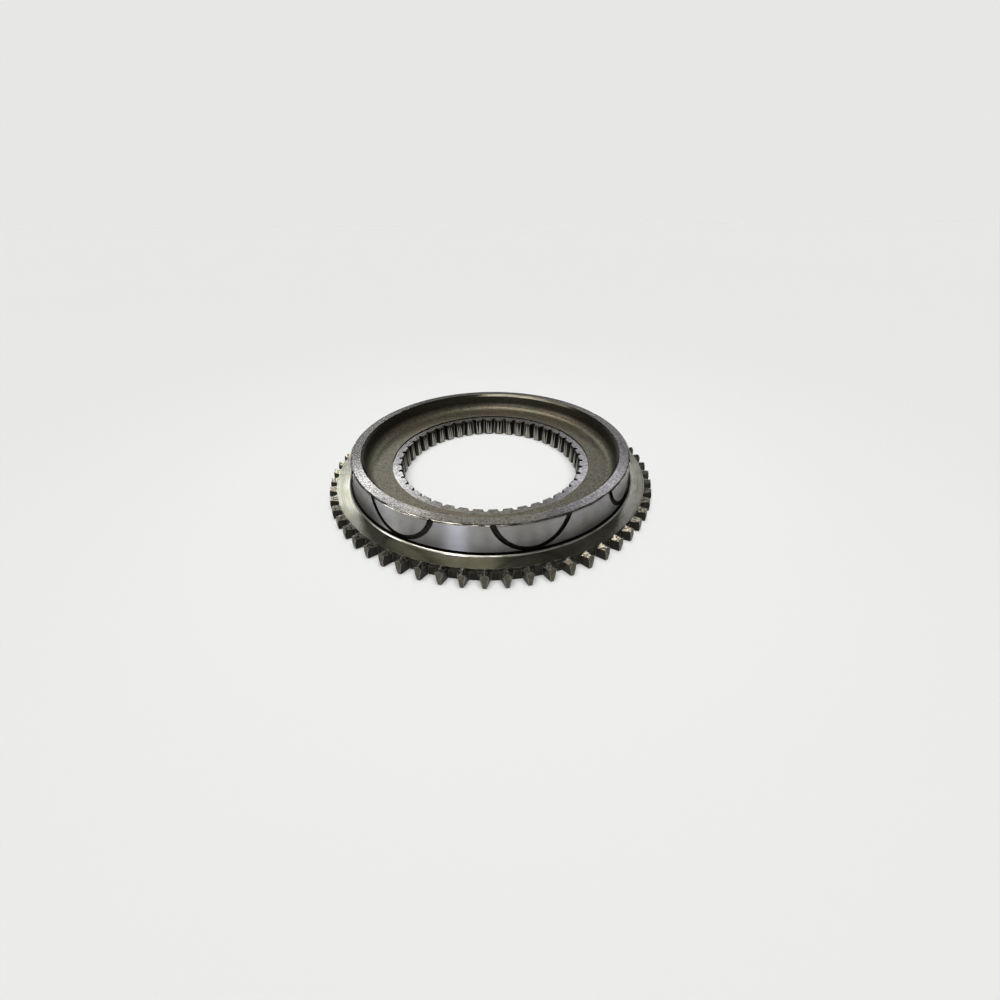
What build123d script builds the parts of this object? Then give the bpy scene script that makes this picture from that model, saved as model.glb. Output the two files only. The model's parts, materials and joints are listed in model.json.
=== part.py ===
from build123d import *
import math
import os

# Synchronizer cone of a heavy gearbox, turned and cut from one steel forging.
# The axis is Z, the origin is the centre of the flat back face, and sizes are
# in millimetres and degrees.

# Clutch flange with its ring of pointed dog teeth
dog_tooth_count = 60
tip_diameter = 150.0
root_diameter = 142.4
flange_thickness = 5.7
tip_land_height = 2.7
tip_chamfer_depth = 0.8
tooth_root_thickness = 5.2
tooth_tip_thickness = 2.6
tooth_back_taper = 7.0
tooth_roof_angle = 28.0
ridge_land = 0.18
dog_clocking = -2.06

# Friction cone and the rim that it runs up to
cone_diameter = 128.8
cone_half_angle = 6.5
rim_height = 17.8
rim_outer_chamfer = 0.8
rim_outer_chamfer_drop = 0.4
rim_face_width = 3.7
rim_inner_chamfer = 1.0
wall_draft = 2.0

# Grinding relief undercut into the foot of the cone, with its low turned shoulder
relief_width = 0.5
relief_depth = 0.9
relief_height = 0.5
relief_undercut = 0.4
shoulder_height = 0.5
shoulder_land = 0.4
shoulder_chamfer = 0.5

# Oil grooves, open arcs milled into the ground cone
oil_groove_count = 8
oil_groove_radius = 14.6
oil_groove_width = 1.7
oil_groove_depth = 1.0
oil_groove_foot = 7.05
oil_groove_clocking = 13.0

# Forged dish with the machined seat round the splined bore
dish_floor_height = 9.4
dish_corner_radius = 3.5
dish_corner_flats = 4
seat_diameter = 92.4
seat_height = 8.9

# Straight internal splines
spline_count = 46
spline_minor_diameter = 83.6
spline_major_diameter = 87.4
spline_tip_share = 0.52
spline_flank_angle = 24.0
spline_end_chamfer = 0.5
spline_clocking = 0.88

# Overrun of each cutter past the face that it cuts
overrun = 0.3

# Heading of the front, -Y, which the clocking angles are counted from
front_heading = -90

tip_radius = tip_diameter / 2
root_radius = root_diameter / 2
cone_radius = cone_diameter / 2
seat_radius = seat_diameter / 2
minor_radius = spline_minor_diameter / 2
major_radius = spline_major_diameter / 2
shoulder_top = flange_thickness + shoulder_height
cone_slope = math.tan(math.radians(cone_half_angle))
half_pitch = math.radians(180 / dog_tooth_count)


def cone_surface_radius(height):
    """Radius of the ground cone at a height over the back face."""
    return cone_radius - (height - shoulder_top) * cone_slope


def dish_corner(wall_radius, wall_top):
    """Rounded corner from the drafted wall to the dish floor, drawn as short flats."""
    centre_height = dish_floor_height + dish_corner_radius
    draft = math.radians(wall_draft)
    wall_at_centre = wall_radius - (wall_top - centre_height) * math.tan(draft)
    centre_radius = wall_at_centre - dish_corner_radius / math.cos(draft)
    points = []
    for step in range(dish_corner_flats + 1):
        angle = draft + (math.pi / 2 - draft) * step / dish_corner_flats
        along = centre_radius + dish_corner_radius * math.cos(angle)
        points.append((along, centre_height - dish_corner_radius * math.sin(angle)))
    return points


def revolved(section):
    """Solid turned round the axis from a closed section of radii and heights."""
    face = make_face(Plane.XZ * Polyline(*section, close=True))
    return revolve(face, Axis.Z)


def turned_blank():
    """Solid of revolution that the teeth, splines and grooves are cut into."""
    relief_floor = shoulder_top - relief_depth
    relief_top = shoulder_top + relief_height
    cone_foot = cone_surface_radius(relief_top)
    shoulder_inner = cone_radius + relief_width
    shoulder_outer = shoulder_inner + shoulder_land
    edge_height = rim_height - rim_outer_chamfer_drop
    edge_radius = cone_surface_radius(edge_height)
    face_outer = edge_radius - rim_outer_chamfer
    face_inner = face_outer - rim_face_width
    wall_top = rim_height - rim_inner_chamfer
    wall_radius = face_inner - rim_inner_chamfer
    section = [
        (minor_radius, spline_end_chamfer),
        (minor_radius + spline_end_chamfer, 0),
        (tip_radius, 0),
        (tip_radius, tip_land_height),
        (tip_radius - tip_chamfer_depth, flange_thickness),
        (shoulder_outer + shoulder_chamfer, flange_thickness),
        (shoulder_outer, shoulder_top),
        (shoulder_inner, shoulder_top),
        (shoulder_inner, relief_floor),
        (cone_foot - relief_undercut, relief_floor),
        (cone_foot, relief_top),
        (edge_radius, edge_height),
        (face_outer, rim_height),
        (face_inner, rim_height),
        (wall_radius, wall_top),
        *dish_corner(wall_radius, wall_top),
        (seat_radius, dish_floor_height),
        (seat_radius, seat_height),
        (minor_radius + spline_end_chamfer, seat_height),
        (minor_radius, seat_height - spline_end_chamfer),
    ]
    return revolved(section)


def around(piece, count, clocking):
    """Copies of a cutter round the axis, the first clocked from the front."""
    start = front_heading + clocking
    return [Rot(0, 0, start + index * 360 / count) * piece for index in range(count)]


def tooth_flank_point(radius, height):
    """Flank of the next tooth, seen from the middle of the space beside it."""
    share = (radius - root_radius) / (tip_radius - root_radius)
    thickness = tooth_root_thickness + share * (tooth_tip_thickness - tooth_root_thickness)
    below_top = flange_thickness - height
    half = thickness / 2 - below_top * math.tan(math.radians(tooth_back_taper))
    along = radius * math.cos(half_pitch) + half * math.sin(half_pitch)
    across = radius * math.sin(half_pitch) - half * math.cos(half_pitch)
    return along, across


def tooth_space():
    """Space between two dog teeth, wider towards the back face."""
    faces = []
    for height in (-overrun, flange_thickness + overrun):
        inner = tooth_flank_point(root_radius, height)
        outer = tooth_flank_point(tip_radius + overrun, height)
        corners = [inner, outer, (outer[0], -outer[1]), (inner[0], -inner[1])]
        faces.append(make_face(Plane.XY.offset(height) * Polyline(*corners, close=True)))
    return loft(faces, ruled=True)


def roof_valley():
    """Valley between two ridges, whose slopes are the pointed ends of the teeth."""
    faces = []
    for radius in (root_radius, tip_radius + overrun):
        half = radius * math.tan(half_pitch) - ridge_land / 2
        bottom = flange_thickness - half * math.tan(math.radians(tooth_roof_angle))
        corners = [
            (-half, flange_thickness + overrun),
            (-half, flange_thickness),
            (0, bottom),
            (half, flange_thickness),
            (half, flange_thickness + overrun),
        ]
        station = Plane(origin=(radius, 0, 0), x_dir=(0, 1, 0), z_dir=(1, 0, 0))
        faces.append(make_face(station * Polyline(*corners, close=True)))
    return loft(faces, ruled=True)


def spline_space():
    """Straight space between two internal splines, run out through both faces."""
    pitch = 2 * math.pi * minor_radius / spline_count
    mouth = pitch * (1 - spline_tip_share) / 2
    flank_slope = math.tan(math.radians(spline_flank_angle))
    floor = mouth - (major_radius - minor_radius) * flank_slope
    throat = mouth + overrun * flank_slope
    corners = [
        (minor_radius - overrun, -throat),
        (major_radius, -floor),
        (major_radius, floor),
        (minor_radius - overrun, throat),
    ]
    sketch = make_face(Plane.XY.offset(-overrun) * Polyline(*corners, close=True))
    return extrude(sketch, seat_height + 2 * overrun)


def groove_core():
    """Cone inside the ground one, which the floors of the oil grooves lie on."""
    top = rim_height + overrun
    section = [
        (0, 0),
        (cone_surface_radius(0) - oil_groove_depth, 0),
        (cone_surface_radius(top) - oil_groove_depth, top),
        (0, top),
    ]
    return revolved(section)


def oil_groove():
    """Arc-shaped groove that dips from the rim towards the foot of the cone."""
    centre_height = oil_groove_foot + oil_groove_radius
    inner = cone_surface_radius(rim_height) - 2 * oil_groove_depth
    reach = cone_radius + relief_width - inner
    station = Plane(origin=(inner, 0, centre_height), x_dir=(0, 1, 0), z_dir=(1, 0, 0))
    ring = Circle(oil_groove_radius + oil_groove_width / 2)
    ring -= Circle(oil_groove_radius - oil_groove_width / 2)
    return extrude(station * ring, reach) - groove_core()


def synchronizer_cone():
    """The finished part."""
    cutters = around(tooth_space(), dog_tooth_count, dog_clocking + 180 / dog_tooth_count)
    cutters += around(roof_valley(), dog_tooth_count, dog_clocking + 180 / dog_tooth_count)
    cutters += around(spline_space(), spline_count, spline_clocking + 180 / spline_count)
    cutters += around(oil_groove(), oil_groove_count, oil_groove_clocking)
    return turned_blank() - cutters


os.makedirs("parts", exist_ok=True)
cone = synchronizer_cone()
export_step(cone, "parts/synchronizer_cone.step")
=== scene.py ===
import json
import math
import bpy
from mathutils import Matrix, Vector

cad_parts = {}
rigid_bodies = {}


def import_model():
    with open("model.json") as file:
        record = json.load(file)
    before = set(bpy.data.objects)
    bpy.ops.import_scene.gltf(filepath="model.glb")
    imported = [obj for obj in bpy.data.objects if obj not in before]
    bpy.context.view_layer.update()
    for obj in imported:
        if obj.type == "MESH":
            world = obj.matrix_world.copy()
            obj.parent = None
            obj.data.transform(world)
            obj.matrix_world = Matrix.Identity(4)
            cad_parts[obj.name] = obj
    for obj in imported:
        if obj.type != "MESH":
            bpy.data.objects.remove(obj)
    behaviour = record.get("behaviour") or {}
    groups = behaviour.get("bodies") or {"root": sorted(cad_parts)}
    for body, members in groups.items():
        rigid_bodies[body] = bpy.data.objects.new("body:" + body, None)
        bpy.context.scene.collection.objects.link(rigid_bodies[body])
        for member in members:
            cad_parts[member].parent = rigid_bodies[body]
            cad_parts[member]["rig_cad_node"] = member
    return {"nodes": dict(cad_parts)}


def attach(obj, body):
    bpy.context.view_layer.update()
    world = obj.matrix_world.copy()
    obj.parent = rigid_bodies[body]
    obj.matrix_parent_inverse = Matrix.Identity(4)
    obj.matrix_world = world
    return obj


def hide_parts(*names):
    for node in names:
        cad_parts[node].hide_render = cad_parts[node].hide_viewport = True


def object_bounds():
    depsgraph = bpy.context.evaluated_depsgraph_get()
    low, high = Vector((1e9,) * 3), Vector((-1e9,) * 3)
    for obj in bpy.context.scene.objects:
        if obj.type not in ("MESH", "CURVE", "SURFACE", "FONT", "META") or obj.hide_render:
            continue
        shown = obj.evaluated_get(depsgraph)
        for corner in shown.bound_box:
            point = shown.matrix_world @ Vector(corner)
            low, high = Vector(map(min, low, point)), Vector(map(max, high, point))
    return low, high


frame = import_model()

cad_low, cad_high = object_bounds()

# The ring. The real part is one steel forging, turned where it has to fit, with
# its dog teeth, splines and oil grooves cut in and its cone ground last. Its mesh
# is a copy of the finished solid with the triangles joined up.
MM = 0.001
JOINED_WITHIN = 0.001 * MM
solid = frame["nodes"]["synchronizer_cone"]
bpy.ops.object.select_all(action="DESELECT")
solid.select_set(True)
bpy.context.view_layer.objects.active = solid
bpy.ops.object.duplicate()
ring = bpy.context.object
ring.name = "synchronizer_ring"
ring.parent = None
del ring["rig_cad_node"]
ring.data.materials.clear()
bpy.ops.object.mode_set(mode="EDIT")
bpy.ops.mesh.select_all(action="SELECT")
bpy.ops.mesh.customdata_custom_splitnormals_clear()
bpy.ops.mesh.remove_doubles(threshold=JOINED_WITHIN)
bpy.ops.mesh.faces_shade_smooth()
bpy.ops.object.mode_set(mode="OBJECT")
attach(ring, "root")
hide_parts("synchronizer_cone")

# The friction cone. Ground and lapped to a satin shine after hardening. The wheel
# ran round the axis, so its hair lines smear each reflection up and down the wall.
CONE_RADIUS = 64.4 * MM
CONE_SLOPE = math.tan(math.radians(6.5))
SHOULDER_TOP = 6.2 * MM
RELIEF_TOP = SHOULDER_TOP + 0.5 * MM
EDGE_DROP = 0.4 * MM
NEAR = 0.02 * MM
MARK_RADIUS = 65
rim_height = cad_high.z
faces_left = set(range(len(ring.data.polygons)))
corner_normals = {}


def radius_of(point):
    """How far a point lies from the axis."""
    return math.hypot(point.x, point.y)


def corners_of(face):
    """The corners of a face."""
    return [ring.data.vertices[index].co for index in face.vertices]


def off_line(corner, start, end):
    """How far a corner lies off a straight stretch of the ring's section."""
    along_r, along_z = end[0] - start[0], end[1] - start[1]
    length = math.hypot(along_r, along_z)
    out, up = radius_of(corner) - start[0], corner.z - start[1]
    across = abs(out * along_z - up * along_r) / length
    along = (out * along_r + up * along_z) / length
    return max(across, -along, along - length)


def on_line(face, start, end):
    """Whether a whole face lies on a straight stretch of the ring's section."""
    return all(off_line(corner, start, end) < NEAR for corner in corners_of(face))


def take(chosen):
    """Hands over the chosen faces of those that no finish has yet, as indexes."""
    taken = [index for index in faces_left if chosen(ring.data.polygons[index])]
    faces_left.difference_update(taken)
    return taken


def turned(*points):
    """Faces of the turned stretches that join these points of the section, shaded round."""
    taken = []
    for start, end in zip(points, points[1:]):
        stretch = take(lambda face: on_line(face, start, end))
        for index in stretch:
            face = ring.data.polygons[index]
            rise = face.normal.z
            outwards = face.normal.x * face.center.x + face.normal.y * face.center.y
            lean = math.copysign(math.sqrt(max(0, 1 - rise * rise)), outwards)
            corner_normals[index] = [
                Vector((c.x * lean / radius_of(c), c.y * lean / radius_of(c), rise))
                for c in corners_of(face)
            ]
        taken += stretch
    return taken


def cone_point(height, depth=0.0):
    """Point of the section on the ground cone, or this far inside it."""
    return CONE_RADIUS - depth - (height - SHOULDER_TOP) * CONE_SLOPE, height


def linear(colour):
    """Linear RGBA of an sRGB hex colour."""
    parts = [int(colour[i:i + 2], 16) / 255 for i in (1, 3, 5)]
    return [c / 12.92 if c <= 0.04045 else ((c + 0.055) / 1.055) ** 2.4 for c in parts] + [1]


def add(tree, kind, settings=None, stops=(), give=None, to=None, **inputs):
    """Adds a node with its settings, colour stops and links, and gives its output."""
    node = tree.nodes.new(kind)
    for name, value in (settings or {}).items():
        setattr(node, name, value)
    for number, (place, colour) in enumerate(stops):
        node.color_ramp.elements[number].position = place
        node.color_ramp.elements[number].color = linear(colour)
    for name, value in inputs.items():
        socket = next(s for s in node.inputs if name in (s.identifier, s.name.replace(" ", "_")))
        if isinstance(value, bpy.types.NodeSocket):
            tree.links.new(value, socket)
        else:
            socket.default_value = value
    output = node.outputs[give] if give else next(s for s in node.outputs if s.enabled)
    if to is not None:
        tree.links.new(output, to)
    return output


def steel(name, faces, metallic, anisotropic=0.0):
    """A new steel finish on these faces, with its grain lying round the axis, and places in mm."""
    material = bpy.data.materials.new(name)
    material.use_nodes = True
    tree = material.node_tree
    shader = tree.nodes["Principled BSDF"]
    shader.inputs["Metallic"].default_value = metallic
    shader.inputs["Anisotropic"].default_value = anisotropic
    shader.inputs["Anisotropic Rotation"].default_value = 0.25
    around = {"direction_type": "RADIAL", "axis": "Z"}
    add(tree, "ShaderNodeTangent", around, to=shader.inputs["Tangent"])
    place = add(tree, "ShaderNodeTexCoord", give="Object")
    mm = add(tree, "ShaderNodeVectorMath", {"operation": "SCALE"}, Vector=place, Scale=1 / MM)
    ring.data.materials.append(material)
    for index in faces:
        ring.data.polygons[index].material_index = len(ring.data.materials) - 1
    return tree, shader, mm


def from_axis(tree, mm):
    """The way out from the axis to a place, and how far out it lies, in mm."""
    flat = add(tree, "ShaderNodeVectorMath", {"operation": "MULTIPLY"}, Vector=mm, Vector_001=(1, 1, 0))
    return flat, add(tree, "ShaderNodeVectorMath", {"operation": "LENGTH"}, Vector=flat)


def tool_marks(tree, mm, pitch, length, detail=2.0):
    """Marks that run round the axis, this far apart and, at MARK_RADIUS, about this long, in mm."""
    flat, radius = from_axis(tree, mm)
    way = add(tree, "ShaderNodeVectorMath", {"operation": "NORMALIZE"}, Vector=flat)
    stretch = MARK_RADIUS * pitch / length
    turn = add(tree, "ShaderNodeVectorMath", {"operation": "SCALE"}, Vector=way, Scale=stretch)
    turn_x = add(tree, "ShaderNodeSeparateXYZ", give="X", Vector=turn)
    turn_y = turn_x.node.outputs["Y"]
    height = add(tree, "ShaderNodeSeparateXYZ", give="Z", Vector=mm)
    spot = add(tree, "ShaderNodeCombineXYZ", X=radius, Y=height, Z=turn_x)
    return add(tree, "ShaderNodeTexNoise", {"noise_dimensions": "4D"}, Vector=spot, W=turn_y,
               Scale=1 / pitch, Detail=detail)


def uneven(tree, shader, marks, roughness, depth, between=(0.3, 0.7)):
    """Relief of this depth in mm, and roughness from one value to another, that both follow the marks."""
    add(tree, "ShaderNodeMapRange", Value=marks, From_Min=between[0], From_Max=between[1],
        To_Min=roughness[0], To_Max=roughness[1], to=shader.inputs["Roughness"])
    add(tree, "ShaderNodeBump", Height=marks, Distance=depth * MM, to=shader.inputs["Normal"])


# Ground and lapped steel is a cool grey satin with a few broad stains. Its hair
# lines are some 0.05 mm apart, and are drawn 0.35 mm apart so that they show.
HAIR_LINE_PITCH = 0.35
HAIR_LINE_LENGTH = 90
STAIN_SIZE = 14
cone_edge = cone_point(rim_height - EDGE_DROP)
ground = turned(cone_point(RELIEF_TOP), cone_edge)
tree, shader, mm = steel("ground_and_lapped_steel", ground, metallic=1.0, anisotropic=0.88)
lines = tool_marks(tree, mm, HAIR_LINE_PITCH, HAIR_LINE_LENGTH)
stains = add(tree, "ShaderNodeTexNoise", Vector=mm, Scale=1 / STAIN_SIZE, Detail=2)
add(tree, "ShaderNodeValToRGB", stops=((0.35, "#8f8d88"), (0.65, "#a2a1a4")), Fac=stains,
    to=shader.inputs["Base Color"])
uneven(tree, shader, lines, roughness=(0.26, 0.42), depth=0.004)

# The oil grooves. Arcs milled into the steel before it was phosphated, wider up
# their arms than at the foot. They are still black, because the wheel that ground
# the cone never reached down into them.
GROOVE_COUNT = 8
GROOVE_CLOCKING = math.radians(13)
GROOVE_RADIUS = 14.6 * MM
GROOVE_WIDTH = 1.7 * MM
GROOVE_DEPTH = 1.0 * MM
GROOVE_FOOT = 7.05 * MM
ARM_OPENING = 0.04
CARRIED_ALONG = 0.6 * MM
SIDE_LIKENESS = 0.7
EDGE_WIDTH = 0.8 * MM
inner_side = GROOVE_RADIUS - GROOVE_WIDTH / 2
groove_middle = GROOVE_FOOT + GROOVE_RADIUS
inside_grooves = cone_edge[0] - 2 * GROOVE_DEPTH
rim_outer = (cone_edge[0] - EDGE_WIDTH, rim_height)


def groove_heading(corner):
    """Heading of the middle of the nearest groove, and how far past it the corner is."""
    step = 2 * math.pi / GROOVE_COUNT
    heading = math.atan2(corner.x, -corner.y)
    middle = GROOVE_CLOCKING + round((heading - GROOVE_CLOCKING) / step) * step
    return middle, heading - middle


def groove_normal(corner, outward):
    """Normal of a groove's side, which is part of a cylinder that points at the axis."""
    middle = groove_heading(corner)[0]
    across = Vector((math.cos(middle), math.sin(middle), 0))
    normal = across * corner.dot(across) + Vector((0, 0, corner.z - groove_middle))
    normal.normalize()
    return normal if normal.dot(outward) > 0 else -normal


# The arms are opened by a small turn of their inner sides towards the middle of
# the groove's arc, and the rim's corners close beside them are carried along.
for vertex in ring.data.vertices:
    corner = vertex.co.copy()
    past = groove_heading(corner)[1]
    past_side = math.hypot(radius_of(corner) * math.sin(past), corner.z - groove_middle) - inner_side
    on_wall = radius_of(corner) > inside_grooves and corner.z > SHOULDER_TOP
    if on_wall and -CARRIED_ALONG < past_side < NEAR:
        vertex.co = Matrix.Rotation(-ARM_OPENING * past, 3, "Z") @ corner
groove_floors = turned(cone_point(SHOULDER_TOP, GROOVE_DEPTH), cone_point(rim_height, GROOVE_DEPTH))
groove_sides = take(lambda face: SHOULDER_TOP < face.center.z < rim_height - NEAR
                    and min(radius_of(corner) for corner in corners_of(face)) > inside_grooves
                    and not on_line(face, cone_edge, rim_outer))
for index in groove_sides:
    face = ring.data.polygons[index]
    if groove_normal(face.center, face.normal).dot(face.normal) > SIDE_LIKENESS:
        corner_normals[index] = [groove_normal(corner, face.normal) for corner in corners_of(face)]

# Phosphated milled steel is a dull, brownish black. The crystals of phosphate are
# some 0.02 mm wide, and are drawn 0.4 and 0.8 mm wide so that they show.
CRYSTAL_GRAIN = 0.4
CRYSTAL_MOTTLE = 0.8
tree, shader, mm = steel("phosphated_milled_steel", groove_floors + groove_sides, metallic=0.95)
mottle = add(tree, "ShaderNodeTexNoise", Vector=mm, Scale=1 / CRYSTAL_MOTTLE, Detail=2)
grain = add(tree, "ShaderNodeTexNoise", Vector=mm, Scale=1 / CRYSTAL_GRAIN, Detail=2)
add(tree, "ShaderNodeValToRGB", stops=((0.35, "#1b1a17"), (0.7, "#3a3832")), Fac=mottle,
    to=shader.inputs["Base Color"])
shader.inputs["Roughness"].default_value = 0.5
add(tree, "ShaderNodeBump", Height=grain, Distance=0.02 * MM, to=shader.inputs["Normal"])

# The grinding relief and the shoulder. A turned undercut that gave the grinding
# wheel room to run out, and beside it a low turned step with rounded edges.
SHOULDER_INNER = CONE_RADIUS + 0.5 * MM
SHOULDER_OUTER = SHOULDER_INNER + 0.4 * MM
SHOULDER_CHAMFER = 0.5 * MM
FLANGE_TOP = 5.7 * MM
RELIEF_FLOOR = SHOULDER_TOP - 0.9 * MM
UNDERCUT = 0.4 * MM
flange_inner = (SHOULDER_OUTER + SHOULDER_CHAMFER, FLANGE_TOP)
cone_foot = cone_point(RELIEF_TOP)


def rounded_over(faces, from_radius, from_lean, to_radius, to_lean):
    """Shades these faces as one bead, leaning outwards by an angle that runs between two radii."""
    for index in faces:
        corner_normals[index] = []
        for corner in corners_of(ring.data.polygons[index]):
            radius = radius_of(corner)
            share = (radius - from_radius) / (to_radius - from_radius)
            lean = math.radians(from_lean + share * (to_lean - from_lean))
            out = math.sin(lean) / radius
            corner_normals[index].append(Vector((corner.x * out, corner.y * out, math.cos(lean))))


# The relief is phosphated turned steel, dull and painted soot black as the shade
# in the undercut, so that it draws a black line round the foot of the cone. Its
# crystals are drawn as in the grooves.
relief = turned((SHOULDER_INNER, SHOULDER_TOP), (SHOULDER_INNER, RELIEF_FLOOR),
                (cone_foot[0] - UNDERCUT, RELIEF_FLOOR), cone_foot)
relief += take(lambda face: RELIEF_FLOOR - NEAR < face.center.z < RELIEF_TOP
               and radius_of(face.center) < SHOULDER_INNER)
tree, shader, mm = steel("phosphated_turned_steel", relief, metallic=0.95)
mottle = add(tree, "ShaderNodeTexNoise", Vector=mm, Scale=1 / CRYSTAL_MOTTLE, Detail=2)
# Painted shade: the undercut's colour is nearly black.
add(tree, "ShaderNodeValToRGB", stops=((0.35, "#0f0e0c"), (0.7, "#24231f")), Fac=mottle,
    to=shader.inputs["Base Color"])
shader.inputs["Roughness"].default_value = 0.6

# Bright turned steel is nearly white, and catches the light as a thin line all
# round. The tool fed some 0.1 mm a turn, and its marks are drawn 0.5 mm apart so
# that they show.
TURNING_PITCH = 0.5
SHOULDER_MARK_LENGTH = 6
shoulder = turned((SHOULDER_INNER, SHOULDER_TOP), (SHOULDER_OUTER, SHOULDER_TOP), flange_inner)
rounded_over(shoulder, from_radius=SHOULDER_INNER, from_lean=-45, to_radius=flange_inner[0], to_lean=80)
tree, shader, mm = steel("bright_turned_steel", shoulder, metallic=1.0, anisotropic=0.2)
marks = tool_marks(tree, mm, TURNING_PITCH, SHOULDER_MARK_LENGTH)
add(tree, "ShaderNodeValToRGB", stops=((0.4, "#bbb7aa"), (0.58, "#faf8f2")), Fac=marks,
    to=shader.inputs["Base Color"])
shader.inputs["Roughness"].default_value = 0.3

# The rim. Faced and chamfered in the lathe, then handled and stacked, so that it
# looks mottled close to and its outer edge is dented.
RIM_WIDTH = 3.7 * MM
INNER_CHAMFER = 1.0 * MM
rim_inner = (rim_outer[0] - RIM_WIDTH, rim_height)
wall_top = (rim_inner[0] - INNER_CHAMFER, rim_height - INNER_CHAMFER)
outer_edge = turned(cone_edge, rim_outer)
rounded_over(outer_edge, from_radius=rim_outer[0], from_lean=4, to_radius=cone_edge[0], to_lean=60)
inner_edge = turned(rim_inner, wall_top)

# Turned edge steel is a broken line of bright and dark dents. They are some
# 0.2 mm across, and are drawn 0.5 mm across and 5 mm long so that they show.
DENT_SIZE = 0.5
DENT_LENGTH = 5
tree, shader, mm = steel("turned_edge_steel", outer_edge, metallic=1.0, anisotropic=0.2)
dents = tool_marks(tree, mm, DENT_SIZE, DENT_LENGTH, detail=4.0)
add(tree, "ShaderNodeValToRGB", stops=((0.4, "#35342f"), (0.6, "#dedbd0")), Fac=dents,
    to=shader.inputs["Base Color"])
shader.inputs["Roughness"].default_value = 0.26

# Phosphated edge steel is a smooth olive grey that mirrors the dish below it. Its
# turning marks are drawn 0.5 mm apart, as on the shoulder.
CHAMFER_MARK_LENGTH = 8
tree, shader, mm = steel("phosphated_edge_steel", inner_edge, metallic=1.0, anisotropic=0.2)
marks = tool_marks(tree, mm, TURNING_PITCH, CHAMFER_MARK_LENGTH)
add(tree, "ShaderNodeValToRGB", stops=((0.35, "#4b493f"), (0.62, "#6d6a60")), Fac=marks,
    to=shader.inputs["Base Color"])
shader.inputs["Roughness"].default_value = 0.2

# Faced steel is a mottled grey that shines towards the windows. Its tool rings
# are some 0.1 mm apart, and are drawn 0.3 mm apart so that they show, and its
# stains are 0.7 mm wide.
FACING_PITCH = 0.3
FACING_LENGTH = 30
RIM_STAIN = 0.7
tree, shader, mm = steel("faced_steel", turned(rim_outer, rim_inner), metallic=1.0, anisotropic=0.85)
rings = tool_marks(tree, mm, FACING_PITCH, FACING_LENGTH)
mottle = add(tree, "ShaderNodeTexNoise", Vector=mm, Scale=1 / RIM_STAIN, Detail=4)
add(tree, "ShaderNodeValToRGB", stops=((0.35, "#6a675f"), (0.62, "#98958c")), Fac=mottle,
    to=shader.inputs["Base Color"])
uneven(tree, shader, rings, roughness=(0.2, 0.24), depth=0.002)

# The dish. The forged inside of the ring, phosphated and left as it came, with a
# drafted wall that runs into the floor by a wide radius.
SEAT_RADIUS = 46.2 * MM
DISH_FLOOR = 9.4 * MM
CORNER_RADIUS = 3.5 * MM
CORNER_FLATS = 4
WALL_DRAFT = math.radians(2)
corner_height = DISH_FLOOR + CORNER_RADIUS
corner_middle = (wall_top[0] - (wall_top[1] - corner_height) * math.tan(WALL_DRAFT)
                 - CORNER_RADIUS / math.cos(WALL_DRAFT))
corner_points = []
for step in range(CORNER_FLATS + 1):
    angle = WALL_DRAFT + (math.pi / 2 - WALL_DRAFT) * step / CORNER_FLATS
    corner_points.append((corner_middle + CORNER_RADIUS * math.cos(angle),
                          corner_height - CORNER_RADIUS * math.sin(angle)))
dish = turned(wall_top, corner_points[0]) + turned(corner_points[-1], (SEAT_RADIUS, DISH_FLOOR))
rounded = turned(*corner_points)
for index in rounded:
    corner_normals[index] = []
    for corner in corners_of(ring.data.polygons[index]):
        inwards = (corner_middle - radius_of(corner)) / radius_of(corner)
        way = Vector((corner.x * inwards, corner.y * inwards, corner_height - corner.z))
        corner_normals[index].append(way.normalized())

# Phosphated forged steel is a dark olive skin with a soft sheen and faint warm
# clouds, and never shows a sharp reflection. Up the wall its colour is painted
# darker, as painted shade. Its grain of some 0.1 mm is drawn 0.7 mm wide so
# that it shows.
FORGED_GRAIN = 0.7
CLOUD_SIZE = 22
SHADE_FOOT = 10.2
SHADE_TOP = 13.5
tree, shader, mm = steel("phosphated_forged_steel", dish + rounded, metallic=0.85)
grain = add(tree, "ShaderNodeTexNoise", Vector=mm, Scale=1 / FORGED_GRAIN, Detail=4)
cloud = add(tree, "ShaderNodeTexNoise", Vector=mm, Scale=1 / CLOUD_SIZE, Detail=2)
height = add(tree, "ShaderNodeSeparateXYZ", give="Z", Vector=mm)
up_wall = add(tree, "ShaderNodeMapRange", Value=height, From_Min=SHADE_FOOT, From_Max=SHADE_TOP)
olive = add(tree, "ShaderNodeValToRGB", stops=((0.33, "#5c5a50"), (0.67, "#9a978b")), Fac=grain)
warmth = add(tree, "ShaderNodeValToRGB", stops=((0.35, "#fff0e8"), (0.65, "#f3f6e6")), Fac=cloud)
# Painted shade: the colour darkens up the wall, from SHADE_FOOT to SHADE_TOP.
shade = add(tree, "ShaderNodeValToRGB", stops=((0.0, "#ffffff"), (1.0, "#74736c")), Fac=up_wall)
multiply = {"data_type": "RGBA", "blend_type": "MULTIPLY"}
warmed = add(tree, "ShaderNodeMix", multiply, Factor_Float=1.0, A_Color=olive, B_Color=warmth)
add(tree, "ShaderNodeMix", multiply, Factor_Float=1.0, A_Color=warmed, B_Color=shade,
    to=shader.inputs["Base Color"])
uneven(tree, shader, grain, roughness=(0.38, 0.52), depth=0.02)

# The seat. A turned step round the bore, half a millimetre below the forged floor,
# that the ring or nut which holds the part on its gear sits against.
SEAT = 8.9 * MM
MINOR_RADIUS = 41.8 * MM
SPLINE_CHAMFER = 0.5 * MM
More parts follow.
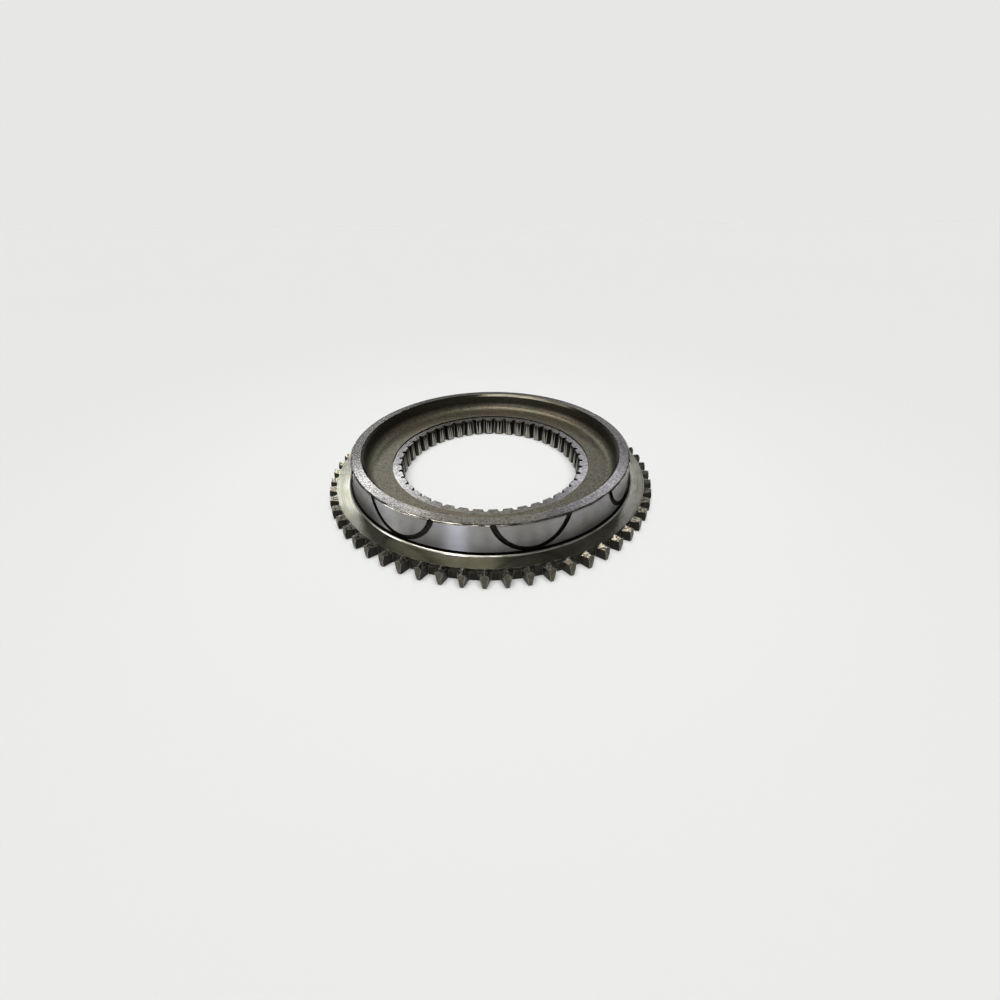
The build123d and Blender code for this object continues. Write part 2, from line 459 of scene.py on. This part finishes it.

# The step wall is turned steel, dull and painted nearly black as painted shade,
# so that it draws the thin line of shade at the foot of the step. Its mottle is
# drawn 1 mm wide.
SHADE_MOTTLE_SIZE = 1.0
step_wall = turned((SEAT_RADIUS, DISH_FLOOR), (SEAT_RADIUS, SEAT))
# Painted shade: the step wall's colour is nearly black.
tree, shader, mm = steel("sooted_turned_steel", step_wall, metallic=0.3)
shade_mottle = add(tree, "ShaderNodeTexNoise", Vector=mm, Scale=1 / SHADE_MOTTLE_SIZE, Detail=2)
add(tree, "ShaderNodeValToRGB", stops=((0.35, "#0f0e0c"), (0.7, "#22211d")), Fac=shade_mottle,
    to=shader.inputs["Base Color"])
shader.inputs["Roughness"].default_value = 0.6

# Fine turned steel is brighter and greyer than the dish, and shines towards the
# windows. Its rings are drawn as on the rim, and its stains are 1.2 mm wide.
SEAT_STAIN = 1.2
seat = turned((SEAT_RADIUS, SEAT), (MINOR_RADIUS + SPLINE_CHAMFER, SEAT))
tree, shader, mm = steel("fine_turned_steel", seat, metallic=1.0, anisotropic=0.8)
rings = tool_marks(tree, mm, FACING_PITCH, FACING_LENGTH)
mottle = add(tree, "ShaderNodeTexNoise", Vector=mm, Scale=1 / SEAT_STAIN, Detail=5)
add(tree, "ShaderNodeValToRGB", stops=((0.35, "#76746c"), (0.62, "#9a9790")), Fac=mottle,
    to=shader.inputs["Base Color"])
uneven(tree, shader, rings, roughness=(0.24, 0.28), depth=0.002)

# The splines. Broached straight through in one pull and then phosphated with the
# rest. Wear has begun to clear their lands, and the floors and flanks of the slots
# are painted darker as shade.
MAJOR_RADIUS = 43.7 * MM
lands = turned((MINOR_RADIUS, 0), (MINOR_RADIUS, SEAT))
floors = turned((MAJOR_RADIUS, 0), (MAJOR_RADIUS, SEAT))
flanks = take(lambda face: radius_of(face.center) < MAJOR_RADIUS + NEAR and NEAR < face.center.z < SEAT)

# Broached steel is streaked along the pull, light grey where it is rubbed, with
# the floors painted darker and the flanks nearly black as painted shade in the
# slots. The strokes are some 0.05 mm apart, and are drawn a third of a millimetre
# apart so that they show.
STROKE_PITCH = 1 / 3
STROKE_LENGTH = 5
# Painted shade: the floors are darker and the flanks nearly black.
for name, faces, dark, light in (("rubbed_broached_steel", lands, "#77756b", "#b0aea4"),
                                 ("broached_steel", floors, "#57554d", "#7d7b72"),
                                 ("phosphated_broached_steel", flanks, "#2c2a25", "#45433c")):
    tree, shader, mm = steel(name, faces, metallic=0.75)
    strokes_per_mm = (1 / STROKE_PITCH, 1 / STROKE_PITCH, 1 / STROKE_LENGTH)
    pull = add(tree, "ShaderNodeMapping", Vector=mm, Scale=strokes_per_mm)
    strokes = add(tree, "ShaderNodeTexNoise", Vector=pull, Scale=1, Detail=2)
    add(tree, "ShaderNodeValToRGB", stops=((0.3, dark), (0.7, light)), Fac=strokes,
        to=shader.inputs["Base Color"])
    uneven(tree, shader, strokes, roughness=(0.36, 0.5), depth=0.002)

# The flange and the back face. Both were faced in the lathe and then phosphated.
# The flange runs out along the ridges of the teeth, which the sleeve has rubbed.
TIP_RADIUS = 75.0 * MM
BACK_UP = -0.99
CHAMFER_UP = -0.5
flange = turned(flange_inner, (TIP_RADIUS, FLANGE_TOP))
back = take(lambda face: face.normal.z < BACK_UP
            or (face.normal.z < CHAMFER_UP and face.center.z < SPLINE_CHAMFER))

# Phosphated faced steel is dark olive but still glossy, and throws light sideways
# in two bright fans. Its rings are some 0.1 mm apart, and are drawn 0.4 mm apart
# so that they show.
FLANGE_PITCH = 0.4
FLANGE_LENGTH = 25
FLANGE_CLOUD = 9


def faced_olive(name, faces):
    """The olive finish on these faces, with its colour given last and not yet joined up."""
    tree, shader, mm = steel(name, faces, metallic=0.95, anisotropic=0.85)
    rings = tool_marks(tree, mm, FLANGE_PITCH, FLANGE_LENGTH, detail=3.0)
    cloud = add(tree, "ShaderNodeTexNoise", Vector=mm, Scale=1 / FLANGE_CLOUD, Detail=3)
    olive = add(tree, "ShaderNodeValToRGB", stops=((0.35, "#7b7a66"), (0.65, "#959482")), Fac=cloud)
    uneven(tree, shader, rings, roughness=(0.14, 0.25), depth=0.005, between=(0.35, 0.65))
    return tree, shader, mm, olive


# The ridges are rubbed nearly white from the roots of the teeth outwards. The
# rubbed spots are some 0.2 mm wide, and are drawn 0.8 mm wide so that they show.
RUB_START = 71.2
RUB_FULL = 71.4
RUB_SIZE = 0.8
tree, shader, mm, olive = faced_olive("phosphated_faced_steel", flange)
radius = from_axis(tree, mm)[1]
ridge = add(tree, "ShaderNodeMapRange", Value=radius, From_Min=RUB_START, From_Max=RUB_FULL)
spots = add(tree, "ShaderNodeTexNoise", Vector=mm, Scale=1 / RUB_SIZE, Detail=2)
rubbed = add(tree, "ShaderNodeValToRGB", stops=((0.4, "#77746a"), (0.55, "#f1ede2")), Fac=spots)
add(tree, "ShaderNodeMix", {"data_type": "RGBA"}, Factor_Float=ridge, A_Color=olive, B_Color=rubbed,
    to=shader.inputs["Base Color"])
tree, shader, mm, olive = faced_olive("phosphated_back_face_steel", back)
tree.links.new(olive, shader.inputs["Base Color"])

# The dog teeth. Milled and pointed, then phosphated with the rest. The sleeve has
# rubbed their pointed roofs bright; their ends are dark, and their sides are
# painted darker still as the shade in the gaps between the teeth.
TOOTH_ROOT = 71.2 * MM
TIP_LAND = 2.7 * MM
TIP_CHAMFER = 0.8 * MM
ROOT_MARGIN = 1.0 * MM
ROOF_UP = 0.6
roofs = take(lambda face: face.normal.z > ROOF_UP and radius_of(face.center) > TOOTH_ROOT)
ends = turned((TIP_RADIUS, 0), (TIP_RADIUS, TIP_LAND), (TIP_RADIUS - TIP_CHAMFER, FLANGE_TOP))
sides = take(lambda face: radius_of(face.center) > TOOTH_ROOT - ROOT_MARGIN)
if faces_left:
    raise RuntimeError("faces with no finish: %d" % len(faces_left))

# Rubbed milled steel flashes warm white where the phosphate has worn through, and
# is dark between. The worn spots are some 0.2 mm wide, and are drawn 0.7 mm wide
# so that they show.
WORN_SPOT = 0.7
tree, shader, mm = steel("rubbed_milled_steel", roofs, metallic=0.95)
spots = add(tree, "ShaderNodeTexNoise", Vector=mm, Scale=1 / WORN_SPOT, Detail=4)
add(tree, "ShaderNodeValToRGB", stops=((0.4, "#302e27"), (0.64, "#b0aca0")), Fac=spots,
    to=shader.inputs["Base Color"])
uneven(tree, shader, spots, roughness=(0.42, 0.24), depth=0.03)


def worn_and_highlit_edges(tree, reach):
    """How near an outer or inner edge the surface is, within this reach in mm."""
    rounded = add(tree, "ShaderNodeBevel", {"samples": 6}, Radius=reach * MM)
    true = add(tree, "ShaderNodeNewGeometry", give="Normal")
    alike = add(tree, "ShaderNodeVectorMath", {"operation": "DOT_PRODUCT"}, Vector=rounded, Vector_001=true)
    return add(tree, "ShaderNodeMapRange", Value=alike, From_Min=0.8, From_Max=0.98, To_Min=1, To_Max=0)


# Phosphated tooth steel is olive grey on the ends, and the flanks are painted
# nearly black as the shade in the gaps. A bright line is painted along each outer
# and inner edge, partly worn bare steel and partly a painted highlight. Its grain
# of some 0.1 mm is drawn 0.9 mm wide so that it shows.
TOOTH_GRAIN = 0.9
EDGE_WEAR_AND_HIGHLIGHT = 0.22
BARE_STEEL_AND_HIGHLIGHT = "#cac7bc"
# Painted shade: the flanks are nearly black.
for name, faces, metallic, dark, light in (("phosphated_tooth_steel", ends, 0.7, "#3b392d", "#5c594a"),
                                           ("phosphated_flank_steel", sides, 0.95, "#1a1915", "#302e26")):
    tree, shader, mm = steel(name, faces, metallic)
    grain = add(tree, "ShaderNodeTexNoise", Vector=mm, Scale=1 / TOOTH_GRAIN, Detail=4)
    skin = add(tree, "ShaderNodeValToRGB", stops=((0.35, dark), (0.65, light)), Fac=grain)
    # Painted highlight, partly wear: near every edge the colour turns to bright bare steel.
    wear_and_highlight = worn_and_highlit_edges(tree, EDGE_WEAR_AND_HIGHLIGHT)
    add(tree, "ShaderNodeMix", {"data_type": "RGBA"}, Factor_Float=wear_and_highlight, A_Color=skin,
        B_Color=linear(BARE_STEEL_AND_HIGHLIGHT), to=shader.inputs["Base Color"])
    uneven(tree, shader, grain, roughness=(0.32, 0.48), depth=0.03)

# The ring's edges. What was turned is shaded round, as the lathe left it, and what
# was milled or broached keeps its flat sides and crisp edges.
normals = []
for face in ring.data.polygons:
    normals += corner_normals.get(face.index, [face.normal.copy() for _ in face.vertices])
ring.data.normals_split_custom_set(normals)

# The stand. A matt white card that the part lies on, large enough to reach past
# the picture on all sides.
CARD_SIZE = 40.0
CARD_WHITE = "#e4e4e3"
bpy.ops.object.select_all(action="DESELECT")
bpy.ops.mesh.primitive_plane_add(size=CARD_SIZE, location=(0, 0, 0))
floor = bpy.context.object
floor.name = "floor"
card = bpy.data.materials.new("matt_white_card")
card.use_nodes = True
paper = card.node_tree.nodes["Principled BSDF"]
paper.inputs["Base Color"].default_value = linear(CARD_WHITE)
paper.inputs["Roughness"].default_value = 1.0
paper.inputs["Specular IOR Level"].default_value = 0.0
floor.data.materials.append(card)

# The light. A dim room with a white backdrop, soft daylight that only the card
# and the dull skins take up, and windows that only shine in the steel.
BACKDROP = "#e7e7e6"
LOW_WALL = "#949496"
HIGH_WALL = "#4c4c4b"
WINDOW_DISTANCE = 1.5
world = bpy.data.worlds.new("studio")
bpy.context.scene.world = world
world.use_nodes = True
tree = world.node_tree
room = tree.nodes["Background"]
direction = add(tree, "ShaderNodeTexCoord", give="Generated")
rise = add(tree, "ShaderNodeSeparateXYZ", give="Z", Vector=direction)
add(tree, "ShaderNodeValToRGB", stops=((0.2, LOW_WALL), (0.55, HIGH_WALL)), Fac=rise,
    to=room.inputs["Color"])
backdrop = add(tree, "ShaderNodeBackground", Color=linear(BACKDROP))
seen = add(tree, "ShaderNodeLightPath", give="Is Camera Ray")
add(tree, "ShaderNodeMixShader", Fac=seen, Shader=room.outputs["Background"], Shader_001=backdrop,
    to=tree.nodes["World Output"].inputs["Surface"])


def hang(light, heading, rise, distance):
    """Hangs a light, unseen and facing the part, at a heading from straight behind and a rise."""
    lamp = bpy.data.objects.new(light.name, light)
    bpy.context.scene.collection.objects.link(lamp)
    turn, lift = math.radians(heading), math.radians(rise)
    way = Vector((math.sin(turn) * math.cos(lift), math.cos(turn) * math.cos(lift), math.sin(lift)))
    lamp.location = way * distance
    lamp.rotation_euler = way.to_track_quat("Z", "Y").to_euler()
    lamp.visible_camera = False
    return lamp


def window(name, heading, rise, width, height, strength, colour="#ffffff"):
    """A window that only shows in the steel, this wide and high in degrees."""
    light = bpy.data.lights.new(name, "AREA")
    light.shape = "RECTANGLE"
    light.size = 2 * WINDOW_DISTANCE * math.tan(math.radians(width / 2))
    light.size_y = 2 * WINDOW_DISTANCE * math.tan(math.radians(height / 2))
    light.energy = strength * math.pi * light.size * light.size_y
    light.color = linear(colour)[:3]
    hang(light, heading, rise, WINDOW_DISTANCE).visible_diffuse = False


window("ceiling_light", -122, 72, 60, 20, 4.2, "#fffaf0")
window("left_window", -20, 32.5, 15, 4.5, 8.0, "#f0f2ff")
window("right_window", 18, 32.5, 13, 5.5, 4.4, "#eaeaff")
window("high_window", -4, 39, 24, 8, 2.0)
window("side_window", -107, 12, 16, 24, 5.0)
window("near_window", -156, 6, 11, 16, 15.0, "#e4e8ff")
daylight = bpy.data.lights.new("daylight", "SUN")
daylight.angle = math.radians(60)
daylight.energy = 3.0
hang(daylight, heading=180, rise=76, distance=1.0).visible_glossy = False
pool = bpy.data.lights.new("pool_light", "AREA")
pool.shape = "DISK"
pool.size = 0.1
pool.energy = 0.05
hang(pool, heading=180, rise=90, distance=0.2).visible_glossy = False

# The camera. Close and wide, on the front of the part, where the photograph was
# taken from: its place comes from the circles of the ring and the tooth tips.
SENSOR = 36.0
IMAGE = 1000
FOCAL_PIXELS = 380.8
PRINCIPAL = (495.0, 502.0)
DISTANCE = 0.1897
ELEVATION = math.radians(31.76)
YAW, PITCH, ROLL = (math.radians(angle) for angle in (-0.56, -4.53, -0.88))
camera = bpy.data.objects.new("camera", bpy.data.cameras.new("camera"))
bpy.context.scene.collection.objects.link(camera)
place = Matrix.Translation((0, -DISTANCE * math.cos(ELEVATION), DISTANCE * math.sin(ELEVATION)))
aim = Matrix.Rotation(math.pi / 2 - ELEVATION, 4, "X")
turn = Matrix.Rotation(YAW, 4, "Y") @ Matrix.Rotation(PITCH, 4, "X") @ Matrix.Rotation(ROLL, 4, "Z")
camera.matrix_world = place @ aim @ turn
camera.data.sensor_width = SENSOR
camera.data.lens = FOCAL_PIXELS / IMAGE * SENSOR
camera.data.shift_x = (IMAGE / 2 - PRINCIPAL[0]) / IMAGE
camera.data.shift_y = (PRINCIPAL[1] - IMAGE / 2) / IMAGE
camera.data.clip_start = 0.01
bpy.context.scene.camera = camera
bpy.context.scene.view_settings.view_transform = "Standard"
